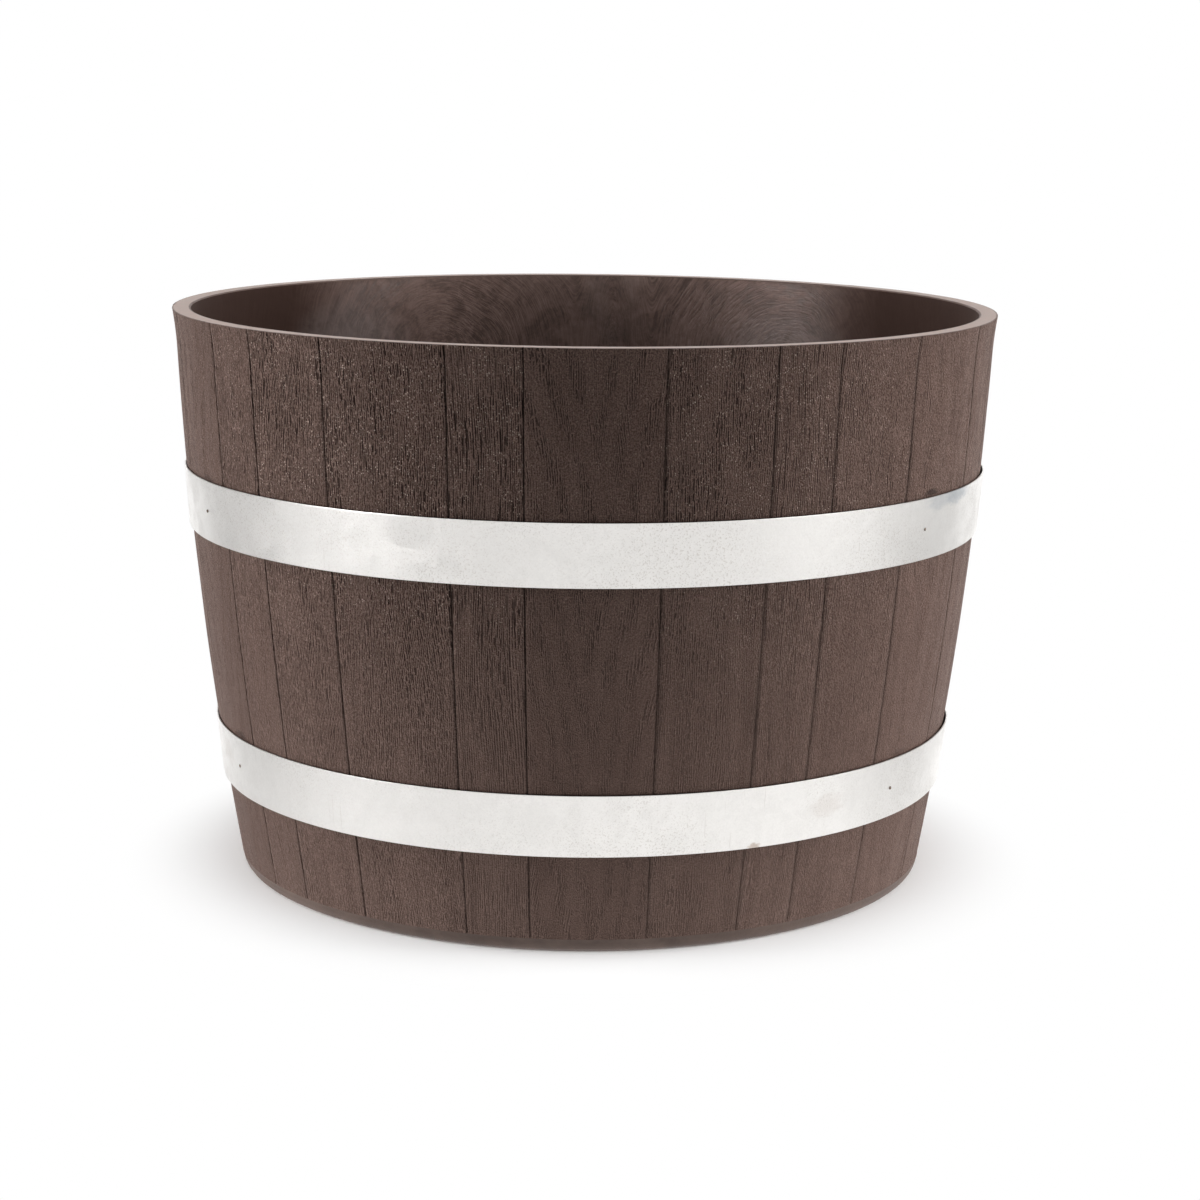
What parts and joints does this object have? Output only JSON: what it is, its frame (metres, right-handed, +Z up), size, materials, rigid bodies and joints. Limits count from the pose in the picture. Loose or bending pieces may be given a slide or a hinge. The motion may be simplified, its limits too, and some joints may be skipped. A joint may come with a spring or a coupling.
{
  "type": "barrel planter",
  "caption": "Round half-barrel planter: moulded plastic tub with a wooden stave pattern, open top and drained floor, held by two nailed galvanised strip hoops.",
  "frame": {"origin": "centre of the foot, on the ground", "axes": "+Z up along the tub's axis, -Y towards the front stave, +X to the right seen from the front"},
  "size_m": [0.503, 0.503, 0.345],
  "materials": {
    "tub": "dark brown moulded plastic with embossed wood grain, pale cut rim, smooth clouded inside",
    "hoop": "matt galvanised strip with fine grey mottling",
    "nail": "dulled brown panel pin",
    "rivet": "dull domed rivet"
  },
  "bodies": {
    "root": {"barrel_tub": "tub", "upper_hoop": "hoop", "lower_hoop": "hoop", "upper_nail_left": "nail", "upper_nail_right": "nail", "upper_nail_back": "nail", "lower_nail_left": "nail", "lower_nail_right": "nail", "lower_nail_back": "nail", "upper_rivet_left": "rivet", "upper_rivet_right": "rivet", "lower_rivet_left": "rivet", "lower_rivet_right": "rivet"}
  },
  "joints": []
}
